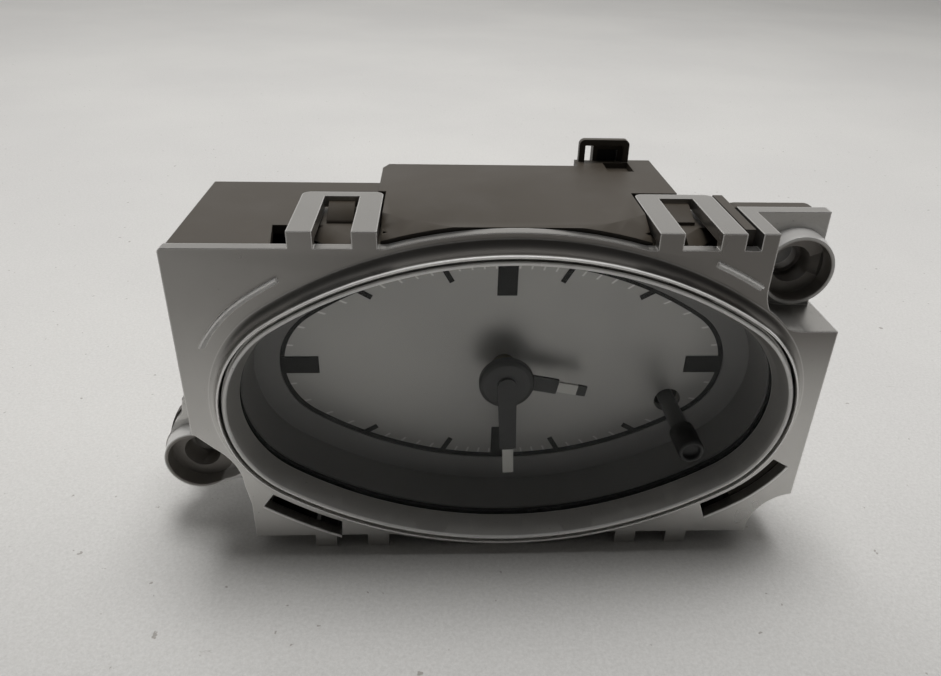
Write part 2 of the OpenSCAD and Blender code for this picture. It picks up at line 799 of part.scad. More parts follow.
module hub_cap() {
    color("dimgray") difference() {
        translate([0, hub_back, 0]) rotate([90, 0, 0]) rotate_extrude()
            polygon([[0, 0], [hub_r, 0], [hub_r, hub_t - 0.7], [hub_r - 0.25, hub_t - 0.3],
                [hub_r - 0.9, hub_t], [0, hub_t]]);
        rod(hub, minute_arbor_r, hub_front + 0.9, hub_back + 1);
    }
}

module minute_hand() {
    bar_len = 0.71 * minute_len;
    color("dimgray") slab(minute_front, minute_front + hand_t) rotate(minute_angle) {
        circle(minute_w / 2);
        polygon([[0, -minute_w / 2], [bar_len, -minute_w / 2 + 0.2],
            [bar_len, minute_w / 2 - 0.2], [0, minute_w / 2]]);
        translate([0, -hand_tip_w / 2]) square([minute_len, hand_tip_w]);
    }
}

module hour_hand() {
    color("dimgray") slab(hour_front, hour_front + hand_t)
        rotate(hour_angle) difference() {
            union() {
                translate([0, -hour_w / 2]) square([0.64 * hour_len, hour_w]);
                translate([0, -hand_tip_w / 2]) square([hour_len, hand_tip_w]);
                circle(0.7 * hub_r);
            }
            circle(minute_arbor_r + arbor_gap + hour_pipe_wall);
        }
}

module setting_button() {
    r = button_d / 2;
    color("black") translate([button_at[0], button_front + button_len, button_at[1]])
        rotate([90, 0, 0]) rotate_extrude() polygon([[0, 0], [r, 0],
            for (a = [0:15:90]) [r - 0.8 + 0.8 * cos(a), button_len - 0.8 + 0.8 * sin(a)],
            [0, button_len]]);
}

// Depths of the push switch behind the button
plunger_front = board_front - 5.6;
switch_front = board_front - 3.6;

module button_stem() {
    color("lightgray") rod(button_at, stem_d / 2, button_front + button_len,
        plunger_front - seat_gap);
}

module switch_plunger() {
    color("black") rod(button_at, 1.5, plunger_front, switch_front + 0.8);
}

module set_switch() {
    color("dimgray") difference() {
        slab(switch_front, board_front) translate(button_at - [3.1, 3.1]) square(6.2);
        rod(button_at, 1.5 + arbor_gap + 0.04, switch_front - 1,
            switch_front + 1 + button_travel);
    }
}

// The movement plates' outline, from the hub
module movement_2d(left, right) {
    translate([left, -25]) rounded_square([right - left, 45], 2);
}

module movement_front_plate() {
    color("whitesmoke") difference() {
        union() {
            slab(front_plate_front, gear_front) movement_2d(-32.5, 29);
            for (at = pillars) rod(at, 1.5, gear_front - eps, gear_back);
            rod(motion_at, arbor_r + 0.2, motion_wheel_front - 2, front_plate_front + eps);
        }
        rod(hub, minute_arbor_r + arbor_gap, 0, gear_front + 1);
        for (at = [second_at, first_at, rotor_at])
            rod(at, arbor_r + arbor_gap, front_plate_front + 0.5, gear_front + 1);
        for (at = bosses) rod(at, 1.2, 0, gear_front + 1);
    }
}

module movement_back_plate() {
    color("whitesmoke") difference() {
        union() {
            slab(gear_back, back_plate_back) movement_2d(-25.2, 21.6);
            for (at = pillars) rod(at, 2, back_plate_back - eps, board_front);
        }
        rod(hub, minute_arbor_r - 0.4 + arbor_gap, gear_back - 1, back_plate_back - 0.4);
        for (at = [second_at, first_at, rotor_at])
            rod(at, arbor_r + arbor_gap, gear_back - 1, back_plate_back - 0.4);
        for (at = pillars) rod(at, 0.8, back_plate_back - 1, board_front + 1);
    }
}

// Pan-head screws with a cross recess, at a list of places from the hub
module screws(places, head_r, head_t, shaft_r, seat, length, way) {
    for (at = places) translate([at[0], seat, at[1]]) rotate([way * 90, 0, 0])
        difference() {
            union() {
                cylinder(r1 = head_r, r2 = 0.75 * head_r, h = head_t);
                translate([0, 0, -length]) cylinder(r = shaft_r, h = length + eps);
            }
            for (turn = [0, 90]) rotate(turn) translate([-0.7 * head_r, -0.25, head_t / 2])
                cube([1.4 * head_r, 0.5, head_t]);
        }
}

module movement_screws() {
    color("silver") screws(bosses, 2.2, 1.1, 1, front_plate_front, 8, 1);
}

module board_screws() {
    color("silver") screws(pillars, 1.7, 1, 0.7, board_back, board_t + 1.5, -1);
}

// A toothed wheel's outline, with its first tooth along X
module gear_2d(teeth, size) {
    pitch_r = size * teeth / 2;
    step = 360 / teeth;
    root_r = pitch_r - 1.25 * size;
    tip_r = pitch_r + 0.85 * size;
    polygon([for (i = [0:teeth - 1], p = [[root_r, -0.29], [pitch_r, -0.2], [tip_r, -0.09],
        [tip_r, 0.09], [pitch_r, 0.2], [root_r, 0.29]])
        p[0] * [cos((i + p[1]) * step), sin((i + p[1]) * step)]]);
}

// A toothed wheel at a place and depth, turned to an angle
module gear(at, teeth, size, front, t, angle) {
    slab(front, front + t) translate(at) rotate(angle) gear_2d(teeth, size);
}

// Half a tooth's step, which sets a gap where the mate has a tooth
function half_step(teeth) = 180 / teeth;

// Depths of the wheels between the plates
centre_wheel_front = gear_front + 0.5;
second_wheel_front = centre_wheel_front + 2;
first_wheel_front = second_wheel_front + 1.3;

module centre_wheel() {
    color("gold") difference() {
        union() {
            gear(hub, centre_teeth, centre_module, centre_wheel_front, wheel_t, second_angle);
            gear(hub, cannon_teeth, motion_module, motion_wheel_front - 0.1, 1.2,
                motion_angle);
            rod(hub, minute_arbor_r, hub_front + 1, gear_back - 0.6);
            rod(hub, minute_arbor_r - 0.4, gear_back - 0.7, back_plate_back - 0.5);
        }
        // six openings lighten the wheel
        for (turn = [0:60:300]) slab(centre_wheel_front - 1, centre_wheel_front + 2)
            rotate(turn) translate([7, 0]) circle(2.1);
    }
}

// A wheel and pinion that turn together on a thin arbor
module geared_arbor(at, teeth, size, front, angle, pinion, pinion_size, pinion_front,
    pinion_angle) {
    gear(at, teeth, size, front, wheel_t, angle);
    gear(at, pinion, pinion_size, pinion_front, wheel_t + 0.6, pinion_angle);
    rod(at, arbor_r, front_plate_front + 0.6, back_plate_back - 0.5);
    rod(at, 1.1, min(front, pinion_front) + wheel_t / 2, max(front, pinion_front));
}

module second_wheel() {
    color("gold") geared_arbor(second_at, second_teeth, second_module, second_wheel_front,
        first_angle, pinion_teeth, centre_module, centre_wheel_front - 0.3,
        180 + second_angle + half_step(pinion_teeth));
}

module first_wheel() {
    color("gold") geared_arbor(first_at, first_teeth, first_module, first_wheel_front,
        rotor_angle, pinion_teeth, second_module, second_wheel_front - 0.2,
        180 + first_angle + half_step(pinion_teeth));
}

module rotor() {
    color("dimgray") {
        gear(rotor_at, rotor_teeth, first_module, first_wheel_front - 0.1, wheel_t + 0.3,
            180 + rotor_angle + half_step(rotor_teeth));
        rod(rotor_at, magnet_r, second_wheel_front - 0.8, second_wheel_front + 0.9);
        rod(rotor_at, arbor_r, front_plate_front + 0.6, back_plate_back - 0.5);
    }
}

module motion_wheel() {
    color("gold") difference() {
        union() {
            gear(motion_at, motion_teeth, motion_module, motion_wheel_front, 1,
                180 + motion_angle + half_step(motion_teeth));
            gear(motion_at, motion_pinion_teeth, hour_module, hour_wheel_front - 0.1, 1.6,
                180 + motion_angle);
        }
        rod(motion_at, arbor_r + 0.2 + arbor_gap, 0, front_plate_front);
    }
}

module hour_wheel() {
    bore_r = minute_arbor_r + arbor_gap;
    color("gold") difference() {
        union() {
            gear(hub, hour_teeth, hour_module, hour_wheel_front, 1,
                motion_angle + half_step(hour_teeth));
            rod(hub, bore_r + hour_pipe_wall, hour_front - 0.4, hour_wheel_front + 1);
        }
        rod(hub, bore_r, 0, front_plate_front);
    }
}

// Places of the stator and the coil, from the rotor and the hub
stator_front = second_wheel_front;
core_z = rotor_at[1] - 8.3;
stator_left = rotor_at[0] - 4.6;
stator_w = 33;
coil_mid_x = stator_left + stator_w / 2;
core_h = 2.6;

module stator() {
    color("silver") slab(stator_front, stator_front + wheel_t) difference() {
        translate([stator_left, core_z - core_h / 2])
            square([stator_w, rotor_at[1] + 3.4 - core_z + core_h / 2]);
        translate([stator_left + 3.4, core_z + core_h / 2])
            square([stator_w - 6.8, rotor_at[1] - 3.4 - core_z - core_h / 2]);
        translate(rotor_at) circle(magnet_r + 0.4);
        for (notch = [45, 225]) translate(rotor_at) rotate(notch)
            translate([magnet_r + 0.4, 0]) circle(0.3);
    }
}

coil_len = 17;
coil_r = 2.2;

// A round bar along X at the coil's middle
module coil_rod(r, from, to) {
    translate([coil_mid_x + from, stator_front + wheel_t / 2, core_z]) rotate([0, 90, 0])
        cylinder(r = r, h = to - from);
}

// The room for the core through the coil
module core_room() {
    translate([coil_mid_x - coil_len, stator_front - 0.05, core_z - core_h / 2 - 0.05])
        cube([2 * coil_len, wheel_t + 0.1, core_h + 0.1]);
}

module coil_bobbin() {
    color("ivory") difference() {
        union() {
            coil_rod(1.7, -coil_len / 2, coil_len / 2);
            for (end = [-1, 1]) coil_rod(coil_r + 0.2, end * coil_len / 2 - 0.4,
                end * coil_len / 2 + 0.4);
        }
        core_room();
    }
}

module coil_winding() {
    color("sienna") difference() {
        coil_rod(coil_r, 0.45 - coil_len / 2, coil_len / 2 - 0.45);
        coil_rod(1.72, -coil_len, coil_len);
    }
}

module circuit_board() {
    color("darkgreen") difference() {
        slab(board_front, board_back) {
            translate([-24, -26]) square([52, board_top + 26]);
            translate([27.9, -17]) square([button_x - 27.9 + 4.6, 15]);
        }
        for (at = bosses) rod(at, boss_r + 0.4, 0, 60);
        for (at = pillars) rod(at, 0.8, 0, 60);
    }
}

module quartz_crystal() {
    color("silver") translate([-16, board_back + 1.25, 8]) {
        rotate([0, 90, 0]) cylinder(r = 1.2, h = 6.2);
        for (z = [-0.5, 0.5]) translate([6.1, -1.25, z - 0.15]) cube([1.6, 1.1, 0.3]);
    }
}

module control_chip() {
    color("black") translate([-4, board_back + 0.1, -5]) {
        cube([6, 1.6, 10]);
        for (side = [-1, 1], i = [0:6]) translate([3 + side * 3.4 - 0.5, -0.1, 0.9 + 1.25 * i])
            cube([1, 0.5, 0.5]);
    }
}

module capacitors() {
    color("royalblue") for (x = [12, 19.5])
        rod([x, board_top - 9], 3.1, board_back, block_depth - case_wall - 0.6);
}

// The header's place in the socket
header_gap = socket_wall + seat_gap;
header_bottom = socket_top - socket_h + header_gap;
header_top = loop_top - case_wall - seat_gap;
shutter_t = 1;

module plug_header() {
    w = socket_w - 2 * header_gap;
    shutter_back = connector_depth + socket_len - 0.4;
    color("black") translate([socket_left + header_gap, 0, 0]) {
        translate([0, board_back, header_bottom])
            cube([w, header_back - board_back, header_top - header_bottom]);
        // a strip under the case's roof carries the shutter behind the cable arch
        translate([0, header_back - eps, header_top - 0.8])
            cube([w, shutter_back - header_back + eps, 0.8]);
        translate([0, shutter_back - shutter_t, header_top - 0.8])
            cube([w, shutter_t, socket_top - socket_wall - seat_gap - header_top + 0.8]);
    }
}

module plug_pins() {
    color("gold") for (row = [-1.5:1.5])
        translate([socket_left + socket_w / 2 - 0.4, header_back,
            (header_bottom + header_top) / 2 + 1.6 * row - 0.6]) cube([0.8, 1.5, 0.8]);
}

module bulb_holders() {
    color("black") for (at = bulb_spots) difference() {
        union() {
            rod(at, bulb_hole_r - seat_gap, case_depth - 7, case_depth + eps);
            rod(at, bulb_hole_r + 1, case_depth, case_depth + 1.6);
            slab(case_depth + 1.6 - eps, case_depth + 4.2) translate(at - [4, 0.9])
                square([8, 1.8]);
        }
        rod(at, bulb_r + 0.1, case_depth - 8, case_depth - 1.5);
    }
}

module bulbs() {
    color("khaki") for (at = bulb_spots) translate([at[0], case_depth - 1.5, at[1]])
        rotate([90, 0, 0]) rotate_extrude() polygon([[0, 0], [bulb_r, 0], [bulb_r, 7],
            for (a = [0:15:90]) [(bulb_r - 0.2) * cos(a), 10.5 + (bulb_r - 0.2) * sin(a)]]);
}

front_carrier();
bezel_ring();
lens();
lens_gasket();
dial_mask();
dial();
light_guide();
rear_case();
hub_cap();
minute_hand();
hour_hand();
setting_button();
button_stem();
switch_plunger();
set_switch();
movement_front_plate();
movement_back_plate();
movement_screws();
rotor();
first_wheel();
second_wheel();
centre_wheel();
motion_wheel();
hour_wheel();
stator();
coil_bobbin();
coil_winding();
circuit_board();
quartz_crystal();
control_chip();
capacitors();
plug_header();
plug_pins();
bulb_holders();
bulbs();
board_screws();
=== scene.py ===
import json
import math

import bmesh
import bpy
from mathutils import Matrix, Vector

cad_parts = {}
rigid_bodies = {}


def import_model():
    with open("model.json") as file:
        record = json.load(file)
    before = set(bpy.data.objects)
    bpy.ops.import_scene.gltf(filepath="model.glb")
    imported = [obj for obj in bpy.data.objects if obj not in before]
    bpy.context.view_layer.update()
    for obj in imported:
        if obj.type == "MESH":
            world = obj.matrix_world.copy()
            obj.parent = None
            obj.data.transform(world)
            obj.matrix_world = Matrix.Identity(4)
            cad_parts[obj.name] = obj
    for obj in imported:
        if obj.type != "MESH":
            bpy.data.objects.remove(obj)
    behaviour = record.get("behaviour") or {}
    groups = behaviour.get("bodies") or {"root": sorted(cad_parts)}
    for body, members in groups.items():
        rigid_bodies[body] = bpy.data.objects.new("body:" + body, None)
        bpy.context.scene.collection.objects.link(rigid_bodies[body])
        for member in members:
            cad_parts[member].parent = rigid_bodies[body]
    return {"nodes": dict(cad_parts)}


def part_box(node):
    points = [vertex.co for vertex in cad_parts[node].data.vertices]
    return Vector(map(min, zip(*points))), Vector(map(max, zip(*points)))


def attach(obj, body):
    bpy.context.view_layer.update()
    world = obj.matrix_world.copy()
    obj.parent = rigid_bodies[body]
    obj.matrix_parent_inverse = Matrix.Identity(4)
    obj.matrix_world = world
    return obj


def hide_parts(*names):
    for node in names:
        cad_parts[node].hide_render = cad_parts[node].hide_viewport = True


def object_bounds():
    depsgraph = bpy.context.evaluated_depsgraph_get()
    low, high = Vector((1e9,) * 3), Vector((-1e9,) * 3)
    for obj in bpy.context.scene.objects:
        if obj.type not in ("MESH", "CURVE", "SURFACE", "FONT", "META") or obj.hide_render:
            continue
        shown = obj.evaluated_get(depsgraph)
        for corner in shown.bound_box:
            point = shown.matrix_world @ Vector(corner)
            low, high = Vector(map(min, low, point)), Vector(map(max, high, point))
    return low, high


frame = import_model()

# Lengths are in millimetres, and MM turns them into the frame's metres.
# X runs across the dial, Y back into the dashboard and Z up, from the dial's middle.
cad_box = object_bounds()
MM = 0.001
TABLE = cad_box[0][2]

# The oval's arc centres: the ends' distance across, the flat arcs' distance up or down, and
# how much longer the flat arcs' radius is than the ends'
END_SPAN = 32.64
FLAT_RISE = 49.504
ARC_OFFSET = 59.296

# The dial's printed marks stand between these depths, inside a black line at this end radius
MARK_BACK = 15.98
MARK_FRONT = 15.92
EDGE_LINE = 13.95

# The plate's curved ribs start at this end radius, outside the collar's cove
RIB_START = 25.2

# The collar's and the bezel's lips, from where their painted highlight starts to where it is full
LIP_START = -2.5
LIP_FULL = -2.9

# The screw tubes: distance across, rise and radius inside, and how far past it their painted
# light outside reaches
TUBES = ((-65.2, -19.2, 6.75), (55.1, 25.6, 6.45))
TUBE_REACH = 2.4

# Corners within this distance of each other are one, and faces within this angle are flat
MERGE = 0.004
FLAT_ANGLE = 0.6
SHARP_ANGLE = 24

# Samples of each rounded edge
EDGE_SAMPLES = 6


class Reading:
    """A value inside a finish, with arithmetic that adds the nodes for it."""

    def __init__(self, finish, socket):
        self.finish = finish
        self.socket = socket

    def calc(self, operation, *others):
        return self.finish.add("Math", {"operation": operation},
                               dict(enumerate((self, *others))))

    def __add__(self, other):
        return self.calc("ADD", other)

    def __radd__(self, other):
        return self.calc("ADD", other)

    def __sub__(self, other):
        return self.calc("SUBTRACT", other)

    def __rsub__(self, other):
        return self.calc("MULTIPLY_ADD", -1.0, other)

    def __mul__(self, other):
        return self.calc("MULTIPLY", other)

    def __pow__(self, other):
        return self.calc("POWER", other)

    def over(self, other):
        return self.calc("MAXIMUM", other)

    def under(self, other):
        return self.calc("MINIMUM", other)

    def size(self):
        return self.calc("ABSOLUTE")

    def fade(self, start, end):
        """0 at start, 1 at end, and smooth between them."""
        return self.finish.add("MapRange", {"interpolation_type": "SMOOTHSTEP", "clamp": True},
                               {"Value": self, "From Min": start, "From Max": end})


class Finish:
    """One material: a Principled shader and whatever feeds it."""

    def __init__(self, name, color, roughness, metallic=0.0, **constants):
        self.material = bpy.data.materials.new(name)
        self.material.use_nodes = True
        self.tree = self.material.node_tree
        self.shader = self.tree.nodes["Principled BSDF"]
        self.feed("Base Color", (*color, 1.0))
        self.feed("Roughness", roughness)
        self.feed("Metallic", metallic)
        for socket, value in constants.items():
            self.feed(socket.replace("_", " "), value)

    def add(self, kind, settings=None, sockets=None, output=0):
        """Any node: its settings first, then its sockets, by name or number."""
        node = self.tree.nodes.new("ShaderNode" + kind)
        for setting, value in (settings or {}).items():
            setattr(node, setting, value)
        for socket, value in (sockets or {}).items():
            self.join(node.inputs[socket], value)
        return Reading(self, node.outputs[output])

    def join(self, socket, value):
        if isinstance(value, Reading):
            self.tree.links.new(value.socket, socket)
        else:
            socket.default_value = value

    def feed(self, socket, value):
        self.join(self.shader.inputs[socket], value)

    def place(self):
        """The point on the piece, in millimetres, as three readings."""
        spot = self.add("TexCoord", output=3)
        scaled = self.add("VectorMath", {"operation": "SCALE"}, {0: spot, "Scale": 1000.0})
        parts = self.tree.nodes.new("ShaderNodeSeparateXYZ")
        self.tree.links.new(scaled.socket, parts.inputs[0])
        self.spot = scaled
        return [Reading(self, out) for out in parts.outputs]

    def noise(self, scale, detail=3.0, rough=0.5, stretch=None):
        """Clouds whose size is set in cells per millimetre."""
        spot = self.spot
        if stretch:
            spot = self.add("VectorMath", {"operation": "MULTIPLY"}, {0: spot, 1: stretch})
        return self.add("TexNoise", {}, {"Vector": spot, "Scale": scale, "Detail": detail,
                                         "Roughness": rough})

    def blend(self, factor, first, second):
        """A colour between two colours, by a factor."""
        return self.add("Mix", {"data_type": "RGBA"},
                        {0: factor, 6: self.rgba(first), 7: self.rgba(second)}, output=2)

    def rgba(self, color):
        return (*color, 1.0) if isinstance(color, tuple) and len(color) == 3 else color

    def edges(self, width):
        """1 on an edge and 0 away from it, by a width in millimetres."""
        normal = self.add("NewGeometry", output=1)
        alike = self.add("VectorMath", {"operation": "DOT_PRODUCT"},
                         {0: self.rounded(width), 1: normal}, output=1)
        return alike.fade(0.99, 0.86)

    def rounded(self, radius):
        """The surface's direction, with its edges rounded by a radius in millimetres."""
        return self.add("Bevel", {"samples": EDGE_SAMPLES}, {"Radius": radius * MM})

    def bump(self, height, distance, edge=0.0):
        """Relief from a height between 0 and 1 over edges rounded by a radius, in millimetres."""
        sockets = {"Strength": 1.0, "Distance": distance * MM, "Height": height}
        if edge:
            sockets["Normal"] = self.rounded(edge)
        self.feed("Normal", self.add("Bump", {}, sockets))


def paint(nodes, finish):
    """Gives one finish to the CAD nodes that the words name."""
    for node in nodes.split():
        mesh = frame["nodes"][node].data
        mesh.materials.clear()
        mesh.materials.append(finish.material)


def distance(x, z, across, rise):
    """How far a point lies from a line along the depth."""
    return ((x - across) ** 2 + (z - rise) ** 2) ** 0.5


def silver_paint(name, color, dirt_and_shade, roughness, top_shade_cut=0.5, metal=0.9):
    """Silver paint on plastic, with painted shade darkening it towards the top, painted
    highlights on its lips and ribs, and edges made lighter by wear and painted highlight.
    """
    finish = Finish(name, color, roughness, metal)
    x, y, z = finish.place()
    flake = finish.noise(9.0, 2.0)
    cloud = finish.noise(0.045, 3.0, 0.6)
    speck = finish.noise(1.6, 4.0, 0.7).fade(0.64, 0.72)
    shaded = tuple(c * 0.88 for c in color)
    glint = tuple(min(1, c * 1.25) for c in color)
    base = finish.blend(cloud.fade(0.3, 0.7), shaded, color)
    base = finish.blend(flake.fade(0.35, 0.75) * 0.35, base, glint)
    # painted shade darkens the paint towards the top, most of it on the plate's front at the
    # upper right
    front = y.fade(0.6, 0.1) * z.fade(0, 24) * x.fade(-90, 40) * 0.55
    painted_shade = (z.fade(-22, 30) * (1 - top_shade_cut) + front).under(0.85)
    base = finish.blend(painted_shade, base, dirt_and_shade)
    # painted highlights make the lips and the ribs light, and every edge lighter, partly from
    # wear and partly as painted highlight
    lip = y.fade(LIP_START, LIP_FULL)
    rib = y.fade(-0.02, -0.12) * oval_reach(x, z).fade(RIB_START, RIB_START + 0.3)
    highlight_and_wear = lip.over(rib).over(finish.edges(0.45) * 0.75)
    base = finish.blend(highlight_and_wear, base, (0.95, 0.94, 0.92))
    # the screw tubes get painted light on their outside, and are dark inside
    painted_tube_light = inside = cloud * 0.0
    for across, rise, radius in TUBES:
        near = distance(x, z, across, rise)
        skin = near.fade(radius + TUBE_REACH, radius + TUBE_REACH - 0.5) * y.fade(0.5, 1.0)
        bore = near.fade(radius + 0.15, radius - 0.15) * y.fade(2, 4)
        painted_tube_light = painted_tube_light.over(skin)
        inside = inside.over(bore)
    base = finish.blend(painted_tube_light * (1.0 - inside) * 0.45, base, (0.72, 0.71, 0.69))
    base = finish.blend(inside * 0.85, base, (0.22, 0.20, 0.18))
    base = finish.blend(speck * 0.5, base, dirt_and_shade)
    finish.feed("Base Color", base)
    finish.feed("Roughness", roughness + (cloud - 0.5) * 0.16 + speck * 0.25 - lip * 0.08
                + inside * 0.2)
    shine = metal - speck * 0.5 - rib * 0.6 - painted_tube_light * 0.6 - lip * 0.4
    finish.feed("Metallic", shine.over(0.0))
    finish.bump(flake * 0.6 + finish.noise(2.2) * 0.4, 0.012, 0.22)
    return finish


def moulded_plastic(name, color, roughness, dust, grain=2.5, depth=0.02):
    """Plain plastic with a fine grain of a given depth and some dust in clouds."""
    finish = Finish(name, color, roughness)
    finish.place()
    cloud = finish.noise(0.06, 4.0, 0.62)
    fine = finish.noise(grain, 3.0)
    dusty = tuple(0.6 * c + 0.16 for c in color)
    finish.feed("Base Color", finish.blend(cloud.fade(0.4, 0.75) * dust, color, dusty))
    finish.feed("Roughness", roughness + (cloud - 0.5) * 0.25)
    finish.bump(fine, depth, 0.25)
    return finish


def turned_metal(name, color, roughness=0.28):
    """Bare metal with a few darker stains."""
    finish = Finish(name, color, roughness, 1.0)
    finish.place()
    stain = finish.noise(0.35, 4.0, 0.6)
    fine = finish.noise(6.0, 2.0)
    finish.feed("Base Color", finish.blend(stain.fade(0.45, 0.8) * 0.5, color,
                                           tuple(c * 0.6 for c in color)))
    finish.feed("Roughness", roughness + (stain - 0.5) * 0.3 + (fine - 0.5) * 0.1)
    finish.bump(fine, 0.006)
    return finish


def oval_reach(x, z):
    """How far out a point lies, as the end radius of the oval through it."""
    across, up = x.size(), z.size()
    ends = ((across - END_SPAN) ** 2 + up * up) ** 0.5
    flats = (across * across + (up + FLAT_RISE) ** 2) ** 0.5 - ARC_OFFSET
    beyond = (across - up * (END_SPAN / FLAT_RISE)).calc("GREATER_THAN", END_SPAN)
    return flats + (ends - flats) * beyond


def dial_finish():
    """Satin silver print, with black hour marks and pale minute ticks, and black along its edge.
    """
    finish = Finish("dial_silver", (0.46, 0.46, 0.44), 0.38, 0.55, Specular_IOR_Level=0.25)
    x, y, z = finish.place()
    reach = oval_reach(x, z)
    edge = reach.fade(EDGE_LINE - 0.2, EDGE_LINE - 0.08)
    minute = math.radians(6)
    turn = x.calc("ARCTAN2", z) * (1 / minute) + 60.5
    aside = (turn.calc("FRACT") - 0.5).size() * (x * x + z * z) ** 0.5 * minute
    tick = aside.fade(0.24, 0.14) * reach.fade(EDGE_LINE - 1.45, EDGE_LINE - 1.3)
    fine = finish.noise(5.0, 2.0)
    cloud = finish.noise(0.03, 2.0)
    spots = finish.noise(0.9, 3.0, 0.6).fade(0.72, 0.78)
    base = finish.blend(cloud.fade(0.35, 0.65), (0.46, 0.455, 0.44), (0.51, 0.505, 0.485))
    base = finish.blend(spots * 0.25, base, (0.2, 0.19, 0.17))
    base = finish.blend(tick * 0.8, base, (0.85, 0.85, 0.83))
    mark = y.fade(MARK_BACK, MARK_FRONT).over(edge)
    finish.feed("Base Color", finish.blend(mark, base, (0.012, 0.012, 0.012)))
    finish.feed("Roughness", 0.36 + fine * 0.08 + mark * 0.15)
    finish.feed("Metallic", 0.55 - mark * 0.55)
    finish.bump(fine, 0.0012)
    return finish


def hand_finish(name, angle, first, last, tip):
    """Satin black, with a light stretch between two distances from the arbor."""
    finish = Finish(name, (0.02, 0.02, 0.02), 0.45)
    x, y, z = finish.place()
    turn = math.radians(angle)
    along = x * math.cos(turn) + z * math.sin(turn)
    light = along.calc("GREATER_THAN", first) * along.calc("LESS_THAN", last)
    fine = finish.noise(3.0, 3.0)
    base = finish.blend(fine.fade(0.4, 0.8) * 0.3, (0.022, 0.022, 0.022), (0.05, 0.05, 0.05))
    finish.feed("Base Color", finish.blend(light, base, tip))
    finish.feed("Roughness", 0.45 + (fine - 0.5) * 0.2)
    finish.bump(fine, 0.005)
    return finish


def clear_finish(name, color, alpha):
    """A clear piece, by how much of it shows, with faint smears."""
    roughness = 0.03
    finish = Finish(name, color, roughness, Alpha=alpha)
    finish.place()
    smear = finish.noise(0.12, 4.0, 0.65)
    finish.feed("Roughness", roughness + smear.fade(0.5, 0.8) * 0.12)
    return finish


def floor_finish():
    """A pale board with painted shade darkening it towards the front, and fine grain, specks and
    small scratches.
    """
    finish = Finish("pale_board", (0.55, 0.54, 0.52), 0.6)
    x, y, z = finish.place()
    cloud = finish.noise(0.006, 4.0, 0.55)
    grain = finish.noise(1.3, 3.0, 0.9)
    speck = finish.noise(0.42, 2.0, 0.5).fade(0.735, 0.765)
    scratch = finish.noise(0.09, 5.0, 0.75, (1.0, 3.5, 1.0)).fade(0.70, 0.73)
    base = finish.blend(cloud.fade(0.3, 0.7), (0.525, 0.515, 0.50), (0.565, 0.555, 0.535))
    # painted shade darkens the board towards the front
    base = finish.blend(y.fade(60, -90) * 0.24, base, (0.10, 0.10, 0.10))
    darker = finish.blend(0.9, (0.0, 0.0, 0.0), base)
    lighter = finish.blend(0.1, base, (1.0, 1.0, 1.0))
    base = finish.blend((grain - 0.5) * 2.4 + 0.5, darker, lighter)
    base = finish.blend(speck * 0.6 + scratch * 0.35, base, (0.16, 0.14, 0.12))
    finish.feed("Base Color", base)
    finish.bump(grain, 0.05)
    return finish


paint("front_carrier",
      silver_paint("carrier_paint", (0.64, 0.63, 0.61), (0.12, 0.11, 0.10), 0.3))
paint("bezel_ring",
      silver_paint("bezel_paint", (0.50, 0.49, 0.47), (0.09, 0.08, 0.07), 0.36, 0.85, 0.45))
paint("lens", clear_finish("clear_lens", (0.40, 0.41, 0.40), 0.045))
paint("bulbs", clear_finish("bulb_glass", (0.9, 0.88, 0.75), 0.35))
paint("button_stem", moulded_plastic("clear_plastic", (0.07, 0.07, 0.07), 0.35, 0.1))
paint("lens_gasket", moulded_plastic("foam", (0.02, 0.02, 0.02), 0.9, 0.1, 1.5, 0.1))
paint("dial_mask", moulded_plastic("mask_plastic", (0.24, 0.235, 0.23), 0.4, 0.15))
paint("dial", dial_finish())
paint("light_guide coil_bobbin", moulded_plastic("milky_plastic", (0.8, 0.79, 0.74), 0.3, 0.1))
paint("rear_case", moulded_plastic("case_plastic", (0.045, 0.037, 0.028), 0.52, 0.13, 2.5, 0.006))
paint("hub_cap", moulded_plastic("dark_plastic", (0.025, 0.025, 0.025), 0.4, 0.15))
paint("setting_button plug_header control_chip bulb_holders switch_plunger",
      moulded_plastic("black_plastic", (0.02, 0.02, 0.02), 0.5, 0.15))
paint("movement_front_plate movement_back_plate",
      moulded_plastic("white_plastic", (0.72, 0.72, 0.69), 0.4, 0.15))
paint("minute_hand", hand_finish("minute_paint", -87, 15.7, 23.5, (0.72, 0.72, 0.68)))
paint("hour_hand", hand_finish("hour_paint", -11, 11.2, 15.4, (0.72, 0.72, 0.68)))
paint("movement_screws board_screws", turned_metal("screw_steel", (0.62, 0.62, 0.6), 0.3))
paint("set_switch", turned_metal("switch_metal", (0.6, 0.6, 0.58), 0.35))
paint("rotor", turned_metal("magnet", (0.25, 0.25, 0.26), 0.35))
paint("first_wheel second_wheel centre_wheel motion_wheel",
      turned_metal("brass", (0.78, 0.58, 0.26)))
paint("hour_wheel", turned_metal("dark_brass", (0.16, 0.12, 0.06), 0.4))
paint("stator", turned_metal("stator_iron", (0.5, 0.5, 0.5), 0.4))
paint("coil_winding", turned_metal("copper_wire", (0.6, 0.25, 0.1), 0.3))
paint("circuit_board", moulded_plastic("board_green", (0.03, 0.16, 0.07), 0.3, 0.1))
paint("quartz_crystal", turned_metal("crystal_can", (0.75, 0.75, 0.74), 0.15))
paint("capacitors", moulded_plastic("capacitor_sleeve", (0.02, 0.04, 0.15), 0.25, 0.1))
paint("plug_pins", turned_metal("pin_gold", (0.85, 0.66, 0.3), 0.2))


def slab_shape(outline, low, high):
    """A flat slab from its outline seen from above, in millimetres."""
    shape = bmesh.new()
    face = shape.faces.new([shape.verts.new((x * MM, y * MM, low * MM)) for x, y in outline])
    raised = bmesh.ops.extrude_face_region(shape, geom=[face])["geom"]
    bmesh.ops.translate(shape, vec=(0, 0, (high - low) * MM),
                        verts=[v for v in raised if isinstance(v, bmesh.types.BMVert)])
    bmesh.ops.recalc_face_normals(shape, faces=shape.faces)
    return shape


